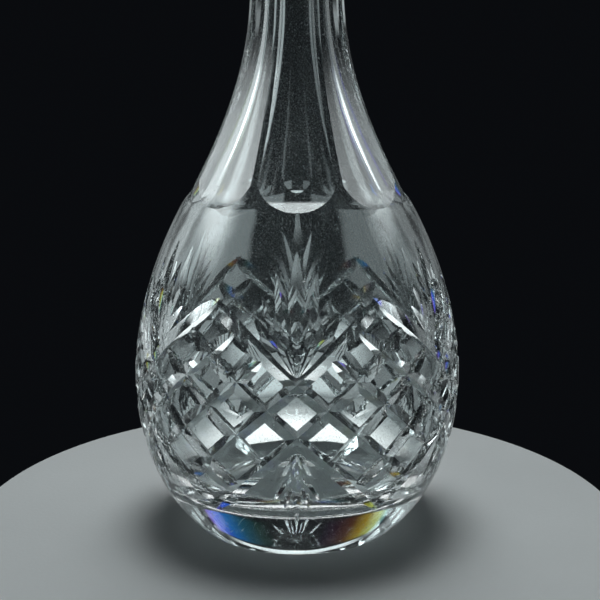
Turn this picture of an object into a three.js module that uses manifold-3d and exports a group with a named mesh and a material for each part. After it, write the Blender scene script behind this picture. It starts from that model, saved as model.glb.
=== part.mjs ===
// A cut crystal decanter with its ground-in stopper, in millimetres, +Z up.
// The origin is the middle of the foot, on the surface that the decanter stands on.
// The vessel is one thick blown wall: an egg-shaped body on a heavy base, and a long neck that eight broad
// flutes are cut into. The stopper is a solid facet-cut globe on a tapered plug that sits in the ground
// mouth.
import * as THREE from "three";
import { ConvexGeometry } from "three/addons/geometries/ConvexGeometry.js";
import { mergeVertices } from "three/addons/utils/BufferGeometryUtils.js";
import Module from "manifold-3d";

// Driving dimensions.
const BODY_RADIUS = 57.5; // widest point of the body
const EQUATOR_Z = 57; // its height
const SHOULDER_RADIUS = 40; // where the body ends and the neck begins
const SHOULDER_Z = 115;
const FOOT_RADIUS = 35.6; // outer edge of the flat ring that it stands on
const FOOT_RING_WIDTH = 6.6;
const FOOT_EDGE = 3; // radius that rounds the foot over into the body
const PUNT_HEIGHT = 1.6; // hollow of the underside within the ring
const FLOOR_Z = 17; // inside bottom: the base is heavy
const BODY_WALL = 5.6; // at the equator
const FLUTES = 8;
const THROAT_Z = 118; // where the hollow of the body narrows into the neck
const THROAT_RADIUS = 30.6;
const FLUTE_FOOT_Z = 122; // where each flute meets its scooped lower end
const FLUTE_FOOT = 34.85; // distance of the flute's flat from the axis there
const NECK_FLAT = 15.2; // the same at the slimmest part of the neck
const FLUTE_TOP_Z = 196; // where the flat starts to run out towards the lip
const RUN_OUT_Z = 211; // where it has left the glass
const NECK_TOP_Z = 203; // where the neck starts to flare out to the lip
const RIDGE = 1.076; // radius of the ridge between two flutes over the distance of a flat,
const RIDGE_TRIM = 0.25; // less this much
const LIP_TOP_Z = 224.5;
const LIP_RADIUS = 25;
const LIP_EDGE = 2.5; // radius of its rounded edge
const SEAT_MOUTH = 9.9; // radius of the ground seat at the top and at the bottom: 1 in 10 on diameter
const SEAT_END = 8.4;
const SEAT_TOP_Z = 223.5;
const SEAT_END_Z = 193.5;
const BORE = 8; // neck below the seat
const STOPPER_GAP = 0.3; // between the plug and its seat, for a smooth pull
const PLUG_END_Z = 197;
const PLUG_BEVEL = 1.2;
const STOPPER_NECK = 7.6; // radius of the stopper between its plug and its globe
const STOPPER_NECK_TOP_Z = 231;
const STOPPER_TOP_Z = 274;

const ROUND = 56; // facets of a full turn: a multiple of the flutes
const EDGE = Math.PI / FLUTES;
const FLUTE_STEPS = 11;
const CLEAR_OF_GLASS = 80; // how far a flute's cutter stands out from the axis

const wasm = await Module();
wasm.setup();

const point = (r, z) => new THREE.Vector2(r, z);

// Points of a cubic curve, without the last one, which the next stretch begins with.
function sweep(steps, start, startPull, endPull, end) {
  return new THREE.CubicBezierCurve(start, startPull, endPull, end).getPoints(steps).slice(0, -1);
}

// Points of a round edge, from one angle to another about its centre.
function roundEdge(steps, centreR, centreZ, radius, fromAngle, toAngle) {
  const clockwise = toAngle < fromAngle;
  const edge = new THREE.ArcCurve(centreR, centreZ, radius, fromAngle, toAngle, clockwise);
  return edge.getPoints(steps);
}

// A closed body of revolution about Z, from an outline that starts and ends on the axis.
function turned(outline) {
  return new THREE.LatheGeometry(outline, ROUND).rotateX(Math.PI / 2);
}

function toSolid(geometry) {
  const bare = geometry.index ? geometry.toNonIndexed() : geometry.clone();
  bare.deleteAttribute("normal");
  bare.deleteAttribute("uv");
  const welded = mergeVertices(bare, 1e-4);
  const solid = new wasm.Manifold(
    new wasm.Mesh({
      numProp: 3,
      vertProperties: new Float32Array(welded.attributes.position.array),
      triVerts: new Uint32Array(welded.index.array),
    }),
  );
  if (solid.volume() < 0) throw new Error("a body is inside out");
  return solid;
}

function toGeometry(solid) {
  const mesh = solid.getMesh();
  return new THREE.BufferGeometry()
    .setAttribute("position", new THREE.BufferAttribute(mesh.vertProperties, 3))
    .setIndex(new THREE.BufferAttribute(mesh.triVerts, 1));
}

// The flat of a flute, seen from the side: distance from the axis and height.
const fluteCurve = new THREE.CubicBezierCurve(
  point(FLUTE_FOOT, FLUTE_FOOT_Z),
  point(16.4, 156.9),
  point(NECK_FLAT, 175.8),
  point(NECK_FLAT, FLUTE_TOP_Z),
);

const ridgeOver = (flat) => point(flat.x * RIDGE - RIDGE_TRIM, flat.y);

// Outside of the blank as it was blown, before the flutes are cut, from the underside to the lip.
function blankOutline() {
  const shoulderEnd = fluteCurve.getPoint(0.023);
  const neck = [shoulderEnd, ...fluteCurve.getPoints(FLUTE_STEPS).slice(1, -1)].map(ridgeOver);
  const ridge = ridgeOver(point(NECK_FLAT, NECK_TOP_Z));
  const underLip = point(LIP_RADIUS - LIP_EDGE, LIP_TOP_Z - 2 * LIP_EDGE);
  const equator = point(BODY_RADIUS, EQUATOR_Z);
  const shoulder = point(SHOULDER_RADIUS, SHOULDER_Z);
  const footEdge = roundEdge(3, FOOT_RADIUS, FOOT_EDGE, FOOT_EDGE, -Math.PI / 2, -Math.PI / 4);
  const heel = footEdge.pop();
  return [
    point(0, PUNT_HEIGHT),
    point(FOOT_RADIUS - FOOT_RING_WIDTH - 4, PUNT_HEIGHT),
    point(FOOT_RADIUS - FOOT_RING_WIDTH, 0),
    ...footEdge,
    ...sweep(8, heel, point(58.95, 22), point(BODY_RADIUS, 51), equator),
    ...sweep(7, equator, point(BODY_RADIUS, 59), point(57.3, 83.7), shoulder),
    ...sweep(3, shoulder, point(37.6, 118.4), point(37.2, 120.4), neck[0]),
    ...neck,
    ...sweep(4, ridge, point(ridge.x, 213), point(18, underLip.y), underLip),
    ...roundEdge(4, underLip.x, underLip.y + LIP_EDGE, LIP_EDGE, -Math.PI / 2, Math.PI / 2),
    point(SEAT_MOUTH + 1, LIP_TOP_Z),
  ];
}

// Inside of the vessel, from the mouth down to the middle of the floor.
function hollowOutline() {
  const inner = BODY_RADIUS - BODY_WALL;
  const bore = point(BORE, SEAT_END_Z - 2);
  const throat = point(THROAT_RADIUS, THROAT_Z);
  const widest = point(inner, EQUATOR_Z);
  const corner = point(33, FLOOR_Z + 0.5);
  return [
    point(SEAT_MOUTH, SEAT_TOP_Z),
    point(SEAT_END, SEAT_END_Z),
    ...sweep(6, bore, point(BORE, 170), point(10, 152), throat),
    ...sweep(5, throat, point(46, 93), point(inner, 72), widest),
    ...sweep(6, widest, point(inner, 38), point(49, 19.5), corner),
    corner,
    point(0, FLOOR_Z),
  ];
}

// The wheel's path for one flute, as the glass that it takes away on the side facing -Y: flat across, hollow
// along the neck, and scooped out through the surface at both ends.
function fluteCutter() {
  const start = point(46.5, 112);
  const scoop = new THREE.CubicBezierCurve(
    start,
    point(40.3, 114.2),
    point(36.6, 118.7),
    point(FLUTE_FOOT, FLUTE_FOOT_Z),
  );
  const runOut = new THREE.QuadraticBezierCurve(
    point(NECK_FLAT, FLUTE_TOP_Z + 4),
    point(NECK_FLAT, FLUTE_TOP_Z + 11),
    point(21, RUN_OUT_Z),
  );
  const shape = new THREE.Shape([
    point(CLEAR_OF_GLASS, start.y),
    ...scoop.getPoints(5).slice(0, -1),
    ...fluteCurve.getPoints(FLUTE_STEPS),
    ...runOut.getPoints(3),
    point(CLEAR_OF_GLASS, RUN_OUT_Z),
  ]);
  const width = 2 * CLEAR_OF_GLASS;
  return new THREE.ExtrudeGeometry(shape, { depth: width, bevelEnabled: false, curveSegments: 1 })
    .translate(0, 0, -width / 2)
    .rotateX(Math.PI / 2)
    .rotateZ(-Math.PI / 2);
}

function vesselGeometry() {
  const cutter = toSolid(fluteCutter());
  let vessel = toSolid(turned([...blankOutline(), ...hollowOutline()]));
  for (let i = 0; i < FLUTES; i++) {
    vessel = vessel.subtract(cutter.rotate([0, 0, (i * 360) / FLUTES]));
  }
  return toGeometry(vessel);
}

// One level of the stopper's facets: eight points about the axis, turned half a facet on every other level.
function facetRing(radius, z, level) {
  return Array.from({ length: FLUTES }, (_, i) => {
    const angle = (2 * i + 1 + (level % 2)) * EDGE;
    return new THREE.Vector3(radius * Math.cos(angle), radius * Math.sin(angle), z);
  });
}

// The solid globe of the stopper, as the hull of its facets' corners.
function globeGeometry() {
  const levels = [
    // radius, height
    [8.6, 229],
    [16.6, 236.5],
    [21.5, 247],
    [20.6, 258.5],
    [14.2, 269],
    [7, STOPPER_TOP_Z],
  ];
  return new ConvexGeometry(levels.flatMap(([radius, z], level) => facetRing(radius, z, level)));
}

function stopperGeometry() {
  const taper = (SEAT_MOUTH - SEAT_END) / (SEAT_TOP_Z - SEAT_END_Z);
  const plugRadius = (z) => SEAT_END + taper * (z - SEAT_END_Z) - STOPPER_GAP;
  const plug = turned([
    point(0, PLUG_END_Z),
    point(plugRadius(PLUG_END_Z) - PLUG_BEVEL, PLUG_END_Z),
    point(plugRadius(PLUG_END_Z + PLUG_BEVEL), PLUG_END_Z + PLUG_BEVEL),
    point(plugRadius(SEAT_TOP_Z), SEAT_TOP_Z),
    point(9, LIP_TOP_Z + 1.5),
    point(STOPPER_NECK, LIP_TOP_Z + 3.5),
    point(STOPPER_NECK, STOPPER_NECK_TOP_Z),
    point(0, STOPPER_NECK_TOP_Z),
  ]);
  return toGeometry(toSolid(plug).add(toSolid(globeGeometry())));
}

const crystal = new THREE.MeshStandardMaterial({ color: 0xe6eeee, roughness: 0.03, metalness: 0 });
const stopperCrystal = new THREE.MeshStandardMaterial({ color: 0xe3ecec, roughness: 0.04, metalness: 0 });

function part(name, geometry, material) {
  const mesh = new THREE.Mesh(geometry, material);
  mesh.name = name;
  return mesh;
}

const decanter = new THREE.Group();
decanter.add(part("decanter_body", vesselGeometry(), crystal));
decanter.add(part("stopper", stopperGeometry(), stopperCrystal));

export default decanter;
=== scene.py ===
import math

import bmesh
import bpy
import numpy as np
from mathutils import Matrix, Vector


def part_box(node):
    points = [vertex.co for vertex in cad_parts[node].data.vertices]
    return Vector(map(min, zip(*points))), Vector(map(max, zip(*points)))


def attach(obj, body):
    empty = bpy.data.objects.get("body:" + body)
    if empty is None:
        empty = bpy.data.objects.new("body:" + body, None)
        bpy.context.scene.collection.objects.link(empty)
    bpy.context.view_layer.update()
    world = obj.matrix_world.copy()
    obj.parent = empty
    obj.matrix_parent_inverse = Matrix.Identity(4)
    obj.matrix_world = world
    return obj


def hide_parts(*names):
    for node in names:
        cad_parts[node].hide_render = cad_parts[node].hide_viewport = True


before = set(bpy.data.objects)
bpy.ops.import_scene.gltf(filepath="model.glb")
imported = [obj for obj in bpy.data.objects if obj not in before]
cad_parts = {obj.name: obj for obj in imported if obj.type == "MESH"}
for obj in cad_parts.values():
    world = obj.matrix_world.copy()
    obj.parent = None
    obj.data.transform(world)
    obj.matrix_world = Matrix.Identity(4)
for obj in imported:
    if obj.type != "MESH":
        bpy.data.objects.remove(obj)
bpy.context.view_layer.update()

MM = 0.001

# ---------------------------------------------------------------- dimensions, with places as (radius, height)

LIP_TOP = round(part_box("decanter_body")[1].z / MM, 2)
LIP_RADIUS = 25.0
LIP_EDGE = 2.45  # half the lip's thickness
NECK_TOP = 203.0
SHOULDER = (40.0, 115.0)
BODY_RADIUS = 57.5
BODY_Z = 57.0  # where the body is widest
FOOT_TOP = (37.72, 0.88)  # where the foot's rounded rim runs into the body
FOOT_RADIUS = 35.6
FOOT_EDGE = 3.0  # radius of the foot's rim
PUNT_RADIUS = 29.0  # the shallow hollow under the foot
PUNT_HEIGHT = 1.6

INNER_RADIUS = 51.9
INNER_FLOOR_Z = 17.0
THROAT = (30.6, 118.0)  # where the hollow narrows into the neck
BORE_RADIUS = 8.0
SEAT_MOUTH = (9.9, 223.5)
SEAT_END = (8.4, 193.5)
MOUTH_BEVEL = 1.2

FLUTES = 8
FLUTE_FOOT = (34.85, 122.0)
NECK_FLAT = 15.2  # from the axis to the flats of the straight neck
FLUTE_CUTTER = (22.0, 60.0)  # half the width of a flute's cutter, and how far out from the axis it reaches
RIDGE = 1.076  # the blank's radius over the flats' distance from the axis
RIDGE_TRIM = 0.25
RIDGE_START_Z = 124.0

SECTORS = 6  # times that the cut pattern is repeated round the body
SECTOR_ANGLE = 360 / SECTORS
COLUMN = 10.0  # degrees between the lattice's columns
LATTICE_TOP_Z = 65.5
ROW_STEP = 8.5
GROOVE_DEPTH = 1.75
GROOVE_RUN_OUT = 0.25  # how far off the glass the wheel is at a groove's ends
CUT_ZONE = (3.0, 130.0)  # heights between which the body is cut
WHEEL = 1.45  # half width of a mitre wheel's V over its depth
CLEAR = 1.6  # how far a cutter stands out of the glass

# The mitres of one sector: first and last column, the row that each crosses the sector's middle in, and the
# columns that it takes to fade in and out.
MITRES = ((-3.25, 4.3, 0, 0.8, 0.8), (-4.1, 3.25, 2, 0.9, 0.9), (-5.1, -0.85, 4, 0.9, 1.3))

# The blades of a fan from its middle outwards: lean, length and width.
UPPER_FAN_Z = 67.0
UPPER_BLADES = ((0, 41, 6.2), (12, 35, 5.4), (24, 29, 5.0), (36, 25, 4.4))
LOWER_FAN_Z = 43.5
LOWER_BLADES = ((0, 27, 3.4), (11, 22, 3.0), (23, 20, 3.0))
BLADE_RUN_OUT = 0.15

PLUG_END_Z, STOPPER_TOP = (round(corner.z / MM, 2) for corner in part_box("stopper"))
PLUG_GAP = 0.28
PLUG_BEVEL = 1.2
PLUG_TOP_Z = 223.2
STOPPER_NECK = 7.6
STOPPER_NECK_TOP_Z = 231.0  # inside the globe
GLOBE_RINGS = ((8.6, 229), (16.6, 236.5), (21.5, 247), (20.6, 258.5), (14.2, 269), (7, STOPPER_TOP))
FACETS = 8  # in each of the globe's rings
FACET_BEVEL = 0.35

BODY_CREASE = 8  # angles from which an edge stays crisp
STOPPER_CREASE = 14

FLOOR_RADIUS = 120.0
FLOOR_TOP_Z = -0.05
FLOOR_THICKNESS = 1.95
FLOOR_CHAMFER = (1.0, 0.95)  # width and height


# ---------------------------------------------------------------- outlines


def bezier(steps, *pulls):
    """Points along a Bezier curve, whatever its number of control points."""
    t = np.linspace(0, 1, steps + 1)[:, None]
    points = [np.array(p, float) + 0 * t for p in pulls]
    while len(points) > 1:
        points = [a * (1 - t) + b * t for a, b in zip(points, points[1:])]
    return points[0]


def arc(steps, centre, radius, start, end):
    a = np.radians(np.linspace(start, end, steps + 1))
    return np.array(centre) + radius * np.stack([np.cos(a), np.sin(a)], 1)


def chain(*stretches):
    """One line through several stretches, without the points where they meet twice."""
    line = np.concatenate([np.array(s, float) for s in stretches])
    keep = np.append(True, np.hypot(*np.diff(line, axis=0).T) > 1e-3)
    return line[keep]


flute_line = bezier(76, FLUTE_FOOT, (16.4, 156.9), (NECK_FLAT, 175.8), (NECK_FLAT, 196))


def ridge_over(flats):
    """The blank where the flutes leave a narrow ridge between each other, from the flats' line."""
    return np.stack([RIDGE * flats[:, 0] - RIDGE_TRIM, flats[:, 1]], 1)


def blank_outline():
    """Outside of the vessel as blown, from the middle of the underside up to the mouth."""
    punt = bezier(16, (0, PUNT_HEIGHT), (18, PUNT_HEIGHT), (26, 1.3), (PUNT_RADIUS, 0))
    foot = arc(10, (FOOT_RADIUS, FOOT_EDGE), FOOT_EDGE, -90, -45)
    low = bezier(46, FOOT_TOP, (58.95, 22), (BODY_RADIUS, 51), (BODY_RADIUS, BODY_Z))
    high = bezier(40, (BODY_RADIUS, BODY_Z), (BODY_RADIUS, 59), (57.3, 83.7), SHOULDER)
    neck = ridge_over(flute_line[flute_line[:, 1] > RIDGE_START_Z])
    shoulder = bezier(10, SHOULDER, (37.6, 118.4), (37.2, 120.4), neck[0])
    ridge = neck[-1, 0]
    under_lip = (LIP_RADIUS - LIP_EDGE, LIP_TOP - 2 * LIP_EDGE)
    flare = bezier(18, (ridge, NECK_TOP), (ridge, 213), (18, under_lip[1]), under_lip)
    lip = arc(30, (under_lip[0], LIP_TOP - LIP_EDGE), LIP_EDGE, -90, 90)
    return chain(punt, foot, low, high, shoulder, neck, flare, lip)


def hollow_outline():
    """Inside of the vessel, from the mouth down to the middle of the floor."""
    edge = SEAT_MOUTH[0]
    mouth = bezier(5, (edge + MOUTH_BEVEL, LIP_TOP), (edge + 0.1, LIP_TOP), SEAT_MOUTH)
    seat = np.linspace(SEAT_MOUTH, SEAT_END, 12)
    neck = bezier(34, (BORE_RADIUS, 191.5), (BORE_RADIUS, 170), (10, 152), THROAT)
    high = bezier(26, THROAT, (46, 93), (INNER_RADIUS, 72), (INNER_RADIUS, BODY_Z))
    corner = (33, 17.5)
    low = bezier(26, (INNER_RADIUS, BODY_Z), (INNER_RADIUS, 38), (49, 19.5), corner)
    floor_line = bezier(10, corner, (25, INNER_FLOOR_Z), (12, INNER_FLOOR_Z), (0, INNER_FLOOR_Z))
    return chain(mouth, seat, neck, high, low, floor_line)


# ---------------------------------------------------------------- meshes


def new_object(name, mesh):
    obj = bpy.data.objects.new(name, mesh)
    bpy.context.scene.collection.objects.link(obj)
    return obj


def new_mesh(name, verts, faces):
    mesh = bpy.data.meshes.new(name)
    mesh.from_pydata((np.asarray(verts) * MM).tolist(), [], faces)
    mesh.validate()
    return new_object(name, mesh)


def lathe(name, outline, segments):
    """A closed body of revolution from an outline that starts and ends on the axis."""
    inner = outline[1:-1]
    angle = np.arange(segments) * 2 * math.pi / segments
    x = np.outer(inner[:, 0], np.sin(angle))
    y = -np.outer(inner[:, 0], np.cos(angle))
    z = np.repeat(inner[:, 1:2], segments, 1)
    rings = np.stack([x, y, z], 2).reshape(-1, 3)
    verts = np.vstack([rings, [0, 0, outline[0, 1]], [0, 0, outline[-1, 1]]])
    first, last = len(rings), len(rings) + 1
    faces = []
    for row in range(len(inner) - 1):
        for i in range(segments):
            j = (i + 1) % segments
            a, b = row * segments, (row + 1) * segments
            faces.append((a + i, a + j, b + j, b + i))
    top = (len(inner) - 1) * segments
    for i in range(segments):
        j = (i + 1) % segments
        faces.append((first, j, i))
        faces.append((last, top + i, top + j))
    return new_mesh(name, verts, faces)


def bar_faces(count, sides, offset):
    """Faces of a closed bar: count sections of so many points each, with flat ends."""
    faces = [tuple(offset + k for k in reversed(range(sides)))]
    for s in range(count - 1):
        for k in range(sides):
            m = (k + 1) % sides
            a, b = offset + s * sides, offset + (s + 1) * sides
            faces.append((a + k, a + m, b + m, b + k))
    faces.append(tuple(offset + (count - 1) * sides + k for k in range(sides)))
    return faces


def cutter(name, bars):
    """One mesh of several bars that don't touch each other, with its faces pointing out."""
    verts, faces = [], []
    for sections in bars:
        count, sides = sections.shape[:2]
        faces += bar_faces(count, sides, sum(len(v) for v in verts))
        verts.append(sections.reshape(-1, 3))
    obj = new_mesh(name, np.vstack(verts), faces)
    bm = bmesh.new()
    bm.from_mesh(obj.data)
    bmesh.ops.recalc_face_normals(bm, faces=bm.faces)
    bm.to_mesh(obj.data)
    bm.free()
    return obj


def combine(target, tool, operation):
    """Cuts the tool out of the target, or joins it on, and uses the tool up."""
    change = target.modifiers.new("combine", "BOOLEAN")
    change.operation = operation
    change.solver = "MANIFOLD"
    change.object = tool
    dg = bpy.context.evaluated_depsgraph_get()
    mesh = bpy.data.meshes.new_from_object(target.evaluated_get(dg))
    target.modifiers.remove(change)
    if len(mesh.polygons) == 0:
        raise RuntimeError(f"{tool.name} left nothing of {target.name}")
    old = target.data
    target.data = mesh
    bpy.data.meshes.remove(old)
    bpy.data.objects.remove(tool)


def finish_mesh(obj, crease):
    """Cleans up what the cuts left and keeps the edges of the cuts crisp."""
    bm = bmesh.new()
    bm.from_mesh(obj.data)
    bmesh.ops.remove_doubles(bm, verts=bm.verts, dist=0.004 * MM)
    bmesh.ops.dissolve_degenerate(bm, edges=bm.edges, dist=0.003 * MM)
    bmesh.ops.triangulate(bm, faces=[f for f in bm.faces if len(f.verts) > 4])
    bm.to_mesh(obj.data)
    bm.free()
    obj.data.materials.clear()
    obj.data.shade_smooth()
    obj.data.set_sharp_from_angle(angle=math.radians(crease))


# ---------------------------------------------------------------- the vessel and its cuts

blank = blank_outline()
on_body = blank[(blank[:, 1] >= CUT_ZONE[0]) & (blank[:, 1] < CUT_ZONE[1])]
slope = np.gradient(on_body[:, 0], on_body[:, 1])


def body_radius(z):
    return np.interp(z, on_body[:, 1], on_body[:, 0])


def body_slope(z):
    """How much the radius grows as the height does."""
    return np.interp(z, on_body[:, 1], slope)


def on_surface(theta, z):
    """Places and outward normals on the blank's outside."""
    r = body_radius(z)
    t = np.radians(theta)
    place = np.stack([r * np.sin(t), -r * np.cos(t), z], 1)
    normal = np.stack([np.sin(t), -np.cos(t), -body_slope(z)], 1)
    return place, normal / np.linalg.norm(normal, axis=1)[:, None]


def mitre(theta, z, depth):
    """The bar of glass that a V-edged wheel takes away along a line on the body, as its sections."""
    place, normal = on_surface(theta, z)
    along = np.gradient(place, axis=0)
    along /= np.linalg.norm(along, axis=1)[:, None]
    across = np.cross(along, normal)
    across /= np.linalg.norm(across, axis=1)[:, None]
    reach = ((CLEAR + depth) * WHEEL)[:, None]
    top = place + normal * CLEAR
    bottom = place - normal * depth[:, None]
    return np.stack([top - across * reach, bottom, top + across * reach], 1)


def row_height(row):
    """Height of a row of the lattice's crossings. The rows open out a little towards the foot."""
    return LATTICE_TOP_Z - ROW_STEP * row - 0.14 * row**2 + 0.01 * row**3


def ease(x):
    x = np.clip(x, 0, 1)
    return x * x * (3 - 2 * x)


def lattice_mitre(sector, side, first, last, row, fade_in, fade_out):
    """One mitre of the lattice. It comes down towards +X where side is 1, and the other way where side is
    -1."""
    column = side * np.linspace(first, last, 60)
    along = np.abs(column - column[0])
    rise = np.minimum(ease(along / fade_in), ease((along[-1] - along) / fade_out))
    depth = (GROOVE_DEPTH + GROOVE_RUN_OUT) * np.sqrt(rise) - GROOVE_RUN_OUT
    return mitre(sector * SECTOR_ANGLE + COLUMN * column, row_height(row + side * column), depth)


def lattice():
    """Two sets of parallel mitres, one each way round, that cross in diamonds."""
    return [[lattice_mitre(s, side, *m) for s in range(SECTORS) for m in MITRES] for side in (1, -1)]


def blade(sector, lean, root_z, reach, width):
    """A leaf-shaped cut that leans so many degrees from upright. It goes up from its root, or down where its
    reach is less than 0, in small steps over the surface, so that it keeps its lean and its length there."""
    t = np.linspace(0, 1, 28)
    step = reach / (len(t) - 1)
    z = [root_z]
    theta = [0.0]
    for _ in t[1:]:
        sideways = abs(step) * math.sin(math.radians(lean)) / body_radius(z[-1])
        theta.append(theta[-1] + math.degrees(sideways))
        z.append(z[-1] + step * math.cos(math.radians(lean)) / math.hypot(1, body_slope(z[-1])))
    depth = width / 2 / WHEEL * np.sin(math.pi * t**0.8) ** 0.8
    depth[0] = depth[-1] = -BLADE_RUN_OUT
    return mitre(sector * SECTOR_ANGLE + np.array(theta), np.array(z), depth)


def fans():
    """The blades, in one set for every place in a fan, so that those of a set don't touch each other."""
    sets = []
    for root_z, way, blades in ((UPPER_FAN_Z, 1, UPPER_BLADES), (LOWER_FAN_Z, -1, LOWER_BLADES)):
        for lean, length, width in blades:
            for side in (1, -1) if lean else (1,):
                leaf = (side * lean, root_z, way * length, width)
                sets.append([blade(s, *leaf) for s in range(SECTORS)])
    return sets


def turn(points, degrees):
    """Points turned about the axis."""
    c, s = math.cos(math.radians(degrees)), math.sin(math.radians(degrees))
    x, y, z = points.T
    return np.stack([x * c - y * s, x * s + y * c, z], 1)


def flute(turn_by):
    """A broad flat of the neck, hollow along its length and scooped out through the glass at both ends."""
    scoop = bezier(18, (46.5, 112), (40.3, 114.2), (36.6, 118.7), FLUTE_FOOT)
    run_out = bezier(10, (NECK_FLAT, 200), (NECK_FLAT, 207), (21, 211))
    line = chain(scoop, flute_line, run_out)
    half, outside = FLUTE_CUTTER
    inner = np.stack([np.zeros(len(line)), -line[:, 0], line[:, 1]], 1)
    outer = np.stack([np.zeros(len(line)), np.full(len(line), -outside), line[:, 1]], 1)
    side = np.array([half, 0, 0])
    sections = np.stack([inner - side, inner + side, outer + side, outer - side], 1)
    return turn(sections.reshape(-1, 3), turn_by).reshape(sections.shape)


def vessel():
    obj = lathe("decanter", chain(blank, hollow_outline()), 192)
    spacing = 360 / FLUTES
    for n in range(2):
        every_other = [flute(spacing * i) for i in range(n, FLUTES, 2)]
        combine(obj, cutter(f"flutes_{n}", every_other), "DIFFERENCE")
    for n, bars in enumerate(lattice() + fans()):
        combine(obj, cutter(f"cuts_{n}", bars), "DIFFERENCE")
    finish_mesh(obj, BODY_CREASE)
    return obj


# ---------------------------------------------------------------- stopper


def facet_ring(radius, z, level):
    """The corners of one of the globe's rings. Each ring's corners lie between those of the next."""
    angles = np.radians((2 * np.arange(FACETS) + 1 + level % 2) * 180 / FACETS)
    return np.stack([radius * np.cos(angles), radius * np.sin(angles), np.full(FACETS, z)], 1)


def globe():
    """The stopper's head: a ball of flat facets with a fine bevel along every edge."""
    bm = bmesh.new()
    for level, (radius, z) in enumerate(GLOBE_RINGS):
        for corner in facet_ring(radius, z, level):
            bm.verts.new(corner * MM)
    bmesh.ops.convex_hull(bm, input=bm.verts)
    bmesh.ops.dissolve_limit(bm, angle_limit=math.radians(1), verts=bm.verts, edges=bm.edges)
    bmesh.ops.recalc_face_normals(bm, faces=bm.faces)
    bmesh.ops.bevel(bm, geom=bm.edges, offset=FACET_BEVEL * MM, segments=1, affect="EDGES", profile=0.5)
    mesh = bpy.data.meshes.new("globe")
    bm.to_mesh(mesh)
    bm.free()
    return new_object("globe", mesh)


def on_plug(z):
    """A place on the plug's taper, which runs along the seat's at a small gap."""
    taper = (SEAT_MOUTH[0] - SEAT_END[0]) / (SEAT_MOUTH[1] - SEAT_END[1])
    return SEAT_END[0] + taper * (z - SEAT_END[1]) - PLUG_GAP, z


def stopper():
    end = on_plug(PLUG_END_Z)
    corner = on_plug(PLUG_END_Z + PLUG_BEVEL)
    outline = chain(
        [(0, PLUG_END_Z), (end[0] - PLUG_BEVEL - 0.1, PLUG_END_Z)],
        arc(5, (corner[0] - PLUG_BEVEL, corner[1]), PLUG_BEVEL, -90, 0),
        np.linspace(on_plug(PLUG_END_Z + 2), on_plug(PLUG_TOP_Z), 12),
        bezier(8, on_plug(PLUG_TOP_Z + 0.2), (9.3, 225.5), (STOPPER_NECK, 226.5), (STOPPER_NECK, 229)),
        [(STOPPER_NECK, STOPPER_NECK_TOP_Z), (0, STOPPER_NECK_TOP_Z)],
    )
    obj = lathe("stopper_crystal", outline, 96)
    combine(obj, globe(), "UNION")
    finish_mesh(obj, STOPPER_CREASE)
    return obj


# ---------------------------------------------------------------- materials


def material(name):
    mat = bpy.data.materials.new(name)
    mat.use_nodes = True
    return mat, mat.node_tree, mat.node_tree.nodes["Principled BSDF"]


def node(tree, kind, **values):
    """A new node. Values go to its inputs of those names, or else to its settings."""
    made = tree.nodes.new(kind)
    for name, value in values.items():
        if name in made.inputs:
            made.inputs[name].default_value = value
        else:
            setattr(made, name, value)
    return made


def math_node(tree, operation, a, b):
    """A sum worked out by a node, of two outputs or numbers."""
    made = node(tree, "ShaderNodeMath", operation=operation)
    for value, socket in zip((a, b), made.inputs):
        if isinstance(value, (int, float)):
            socket.default_value = value
        else:
            tree.links.new(value, socket)
    return made.outputs[0]


def noise(tree, scale, detail, stretch=None):
    """A noise over the surface, so many to the metre, that keeps to the piece however it moves."""
    where = node(tree, "ShaderNodeTexCoord").outputs["Object"]
    texture = node(tree, "ShaderNodeTexNoise", Scale=scale, Detail=detail)
    if stretch:
        mapping = node(tree, "ShaderNodeMapping", Scale=stretch)
        tree.links.new(where, mapping.inputs["Vector"])
        where = mapping.outputs["Vector"]
    tree.links.new(where, texture.inputs["Vector"])
    return texture.outputs[0]


def ramp(tree, source, low, high, to_low, to_high):
    """A number that goes from to_low to to_high as the source goes from low to high."""
    made = node(tree, "ShaderNodeMapRange", clamp=True)
    made.inputs["From Min"].default_value = low
    made.inputs["From Max"].default_value = high
    made.inputs["To Min"].default_value = to_low
    made.inputs["To Max"].default_value = to_high
    tree.links.new(source, made.inputs["Value"])
    return made.outputs[0]


def bump(tree, height, distance, under=None):
    made = node(tree, "ShaderNodeBump", Strength=1.0, Distance=distance)
    tree.links.new(height, made.inputs["Height"])
    if under:
        tree.links.new(under, made.inputs["Normal"])
    return made.outputs[0]


GLASS_IOR = 1.55
CRYSTAL_TINT = (0.94, 0.985, 0.987, 1)
GROUND_TINT = (0.93, 0.95, 0.95, 1)


def crystal(name):
    """Clear lead crystal: a faint unevenness from the wheel and the polishing bath, with a film of fine dust,
    hairline scratches and a few specks."""
    mat, tree, glass = material(name)
    glass.inputs["Base Color"].default_value = CRYSTAL_TINT
    glass.inputs["IOR"].default_value = GLASS_IOR
    film = ramp(tree, noise(tree, 45, 4), 0.3, 0.7, 0.004, 0.022)
    specks = ramp(tree, noise(tree, 2200, 1), 0.65, 0.71, 0.0, 0.4)
    clear = math_node(tree, "SUBTRACT", 0.995, math_node(tree, "ADD", film, specks))
    tree.links.new(clear, glass.inputs["Transmission Weight"])
    scratches = noise(tree, 900, 3, stretch=(1.0, 1.0, 0.08))
    tree.links.new(ramp(tree, scratches, 0.62, 0.8, 0.012, 0.12), glass.inputs["Roughness"])
    tree.links.new(bump(tree, noise(tree, 70, 1), 0.00012), glass.inputs["Normal"])
    return mat


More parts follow.
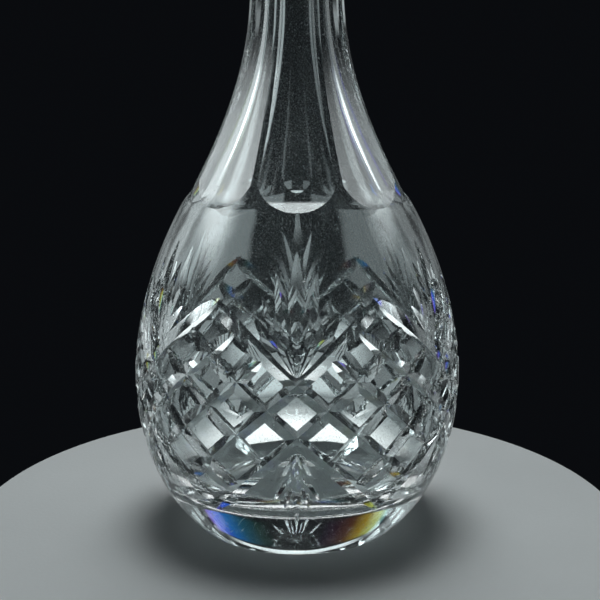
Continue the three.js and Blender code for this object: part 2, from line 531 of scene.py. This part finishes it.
def ground_glass(name):
    """The seat and the plug as the grinding wheel leaves them: white and fine-grained, with marks that run
    round."""
    mat, tree, glass = material(name)
    glass.inputs["Base Color"].default_value = GROUND_TINT
    glass.inputs["Transmission Weight"].default_value = 0.8
    glass.inputs["IOR"].default_value = GLASS_IOR
    grain = noise(tree, 1800, 3)
    tree.links.new(ramp(tree, grain, 0.3, 0.7, 0.35, 0.6), glass.inputs["Roughness"])
    marks = bump(tree, noise(tree, 500, 2, stretch=(0.15, 0.15, 4.0)), 0.00003)
    tree.links.new(bump(tree, grain, 0.00002, under=marks), glass.inputs["Normal"])
    return mat


def pale_paint(name):
    """Painted board: a tone that drifts a little, and a fine grain from the roller."""
    mat, tree, paint = material(name)
    tone = ramp(tree, noise(tree, 9, 3), 0.3, 0.7, 0.60, 0.65)
    shade = node(tree, "ShaderNodeCombineColor")
    for channel in ("Red", "Green", "Blue"):
        tree.links.new(tone, shade.inputs[channel])
    tree.links.new(shade.outputs["Color"], paint.inputs["Base Color"])
    grain = noise(tree, 700, 3)
    tree.links.new(ramp(tree, grain, 0.3, 0.7, 0.45, 0.6), paint.inputs["Roughness"])
    tree.links.new(bump(tree, grain, 0.00005), paint.inputs["Normal"])
    return mat


def grind(obj, near, far, low, high):
    """Gives the second material to the faces between two distances from the axis and two heights."""
    for face in obj.data.polygons:
        x, y, z = face.center / MM
        if near < math.hypot(x, y) < far and low < z < high:
            face.material_index = 1


# ---------------------------------------------------------------- studio, in metres

MIDDLE = (0, 0, 0.13)  # of the object, which the lights round it point at
LIGHT_DISTANCE = 0.7
LIGHT_COLOUR = (0.9, 0.985, 1.0)
ROOM_COLOUR = (0.003, 0.0035, 0.0045, 1)

# The colours that the thick base spreads the edges of the dark background into.
COLD = ((0.45, 0.2, 0.75), (0.05, 0.12, 0.9), (0, 0.15, 0.5), (0, 0.08, 0.14), (0, 0.03, 0.02), (0, 0, 0))
WARM = ((0, 0, 0.01), (0.02, 0, 0.01), (0.08, 0.02, 0), (0.4, 0.25, 0.01), (0.55, 0.6, 0.1), (0.2, 0.6, 0.8))

# The lights that fall on the glass: degrees round from the front and up, size, watts, how far their soft
# edges reach in, and any colours across them. Those behind are the panels that the cuts and flutes look at.
GLASS_LIGHTS = (
    ("left_softbox", -95, 36, (0.55, 0.55), 5.5, 0.4, None),
    ("right_softbox", 104, 36, (0.5, 0.5), 2.6, 0.4, None),
    ("left_panel", -122, 14, (0.66, 0.62), 0.6, 0.15, None),
    ("right_panel", 122, 14, (0.66, 0.62), 0.24, 0.15, None),
    ("back_light", 180, 72, (0.5, 0.5), 2.5, 0.4, None),
    ("top_light", 0, 73, (0.12, 0.42), 1.7, 0.25, None),
    ("left_glow", -154, -3, (0.28, 0.16), 0.04, 0.4, None),
    ("right_glow", 154, -3, (0.28, 0.16), 0.03, 0.4, None),
    ("left_card", -166.5, -9, (0.19, 0.11), 0.0125, 0.08, None),
    ("right_card", 166.5, -9, (0.19, 0.11), 0.0085, 0.08, None),
    ("low_card", 180, -25, (0.7, 0.2), 0.1, 0.2, None),
    ("bright_card", 180, -22, (0.22, 0.16), 0.07, 0.25, None),
    ("foot_strip", 180, 33.5, (0.7, 0.1), 0.3, 0.2, None),
    ("cold_fringe", 161, 16.6, (0.3, 0.25), 0.18, 0.1, COLD),
    ("warm_fringe", -161, 16.6, (0.3, 0.25), 0.18, 0.1, WARM),
)


def floor():
    under = FLOOR_TOP_Z - FLOOR_THICKNESS
    edge = (FLOOR_RADIUS, FLOOR_TOP_Z - FLOOR_CHAMFER[1])
    rim = (FLOOR_RADIUS - FLOOR_CHAMFER[0], FLOOR_TOP_Z)
    outline = np.array([(0, under), (FLOOR_RADIUS, under), edge, rim, (0, FLOOR_TOP_Z)])
    obj = lathe("floor", outline, 160)
    obj.data.materials.append(pale_paint("pale_floor"))
    obj.data.shade_smooth()
    obj.data.set_sharp_from_angle(angle=math.radians(20))
    return obj


def soften(light, edge, colours):
    """Lets the light fall off towards the edges of its window, as the cloth of a softbox does. Colours across
    the window make it the spread of a prism."""
    light.use_nodes = True
    tree = light.node_tree
    emission = tree.nodes["Emission"]
    window = node(tree, "ShaderNodeSeparateXYZ")
    tree.links.new(node(tree, "ShaderNodeNewGeometry").outputs["Parametric"], window.inputs[0])
    fades = []
    for axis in range(2):
        from_edge = math_node(tree, "PINGPONG", window.outputs[axis], 0.5)
        fade = node(tree, "ShaderNodeMapRange", interpolation_type="SMOOTHSTEP")
        fade.inputs["From Max"].default_value = edge
        tree.links.new(from_edge, fade.inputs["Value"])
        fades.append(fade.outputs[0])
    tree.links.new(math_node(tree, "MULTIPLY", *fades), emission.inputs["Strength"])
    if colours:
        spread = node(tree, "ShaderNodeValToRGB")
        tree.links.new(window.outputs[0], spread.inputs[0])
        steps = spread.color_ramp.elements
        steps[0].color = (*colours[0], 1)
        steps[-1].color = (*colours[-1], 1)
        for n, colour in enumerate(colours[1:-1], 1):
            steps.new(n / (len(colours) - 1)).color = (*colour, 1)
        tree.links.new(spread.outputs[0], emission.inputs["Color"])


def place_light(light, place, target, only):
    """Puts a light in its place, pointing at a target, to fall on some objects only."""
    obj = new_object(light.name, light)
    obj.location = place
    obj.rotation_euler = (Vector(target) - obj.location).to_track_quat("-Z", "Y").to_euler()
    obj.visible_camera = False
    group = bpy.data.collections.new(light.name + "_lights")
    for one in only:
        group.objects.link(one)
    obj.light_linking.receiver_collection = group


def area(name, place, target, size, power, only, edge, colours=None):
    light = bpy.data.lights.new(name, "AREA")
    light.shape = "RECTANGLE"
    light.size, light.size_y = size
    light.energy = power
    light.color = LIGHT_COLOUR
    soften(light, edge, colours)
    place_light(light, place, target, only)


def around(turned, raised):
    """A place so many degrees round from the front, towards +X, and raised so many degrees."""
    a, e = math.radians(turned), math.radians(raised)
    level = LIGHT_DISTANCE * math.cos(e)
    return level * math.sin(a), -level * math.cos(a), MIDDLE[2] + LIGHT_DISTANCE * math.sin(e)


def studio(glass, table):
    world = bpy.data.worlds.new("dark_room")
    bpy.context.scene.world = world
    world.use_nodes = True
    world.node_tree.nodes["Background"].inputs[0].default_value = ROOM_COLOUR
    for name, turned, raised, size, power, edge, colours in GLASS_LIGHTS:
        area(name, around(turned, raised), MIDDLE, size, power, glass, edge, colours)
    area("table_light", (0, 0.15, 0.9), (0, 0, 0), (0.6, 0.6), 14, [table], 0.4)
    # The light that the glass gathers on the table behind it, which its lower cuts look at.
    pool = bpy.data.lights.new("light_pool", "SPOT")
    pool.energy = 36
    pool.spot_size = math.radians(9.6)
    pool.spot_blend = 1
    pool.shadow_soft_size = 0.01
    place_light(pool, (0, 0.28, 0.6), (0, 0.042, 0), [table])


def camera():
    data = bpy.data.cameras.new("camera")
    data.sensor_width = 36
    data.lens = 67.17
    data.clip_start = 0.01
    obj = new_object("camera", data)
    obj.location = (0.001, -0.3881, 0.1657)
    looks_down = 12.41
    obj.rotation_euler = (math.radians(90 - looks_down), 0, 0)
    bpy.context.scene.camera = obj


# ---------------------------------------------------------------- the scene

camera()
table = floor()

body = vessel()
body.data.materials.append(crystal("cut_crystal"))
body.data.materials.append(ground_glass("ground_seat"))
grind(body, SEAT_END[0] - 0.1, SEAT_MOUTH[0] + 0.05, SEAT_END[1], SEAT_MOUTH[1])
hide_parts("decanter_body")
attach(body, "vessel")

plug = stopper()
plug.data.materials.append(crystal("stopper_crystal"))
plug.data.materials.append(ground_glass("ground_plug"))
grind(plug, 7.9, SEAT_MOUTH[0], PLUG_END_Z + PLUG_BEVEL, SEAT_MOUTH[1])
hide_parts("stopper")
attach(plug, "stopper")

studio([body, plug], table)

scene = bpy.context.scene
scene.view_settings.view_transform = "Standard"
scene.cycles.max_bounces = 32
scene.cycles.transmission_bounces = 32
scene.cycles.glossy_bounces = 12
scene.cycles.caustics_refractive = True
scene.cycles.caustics_reflective = True
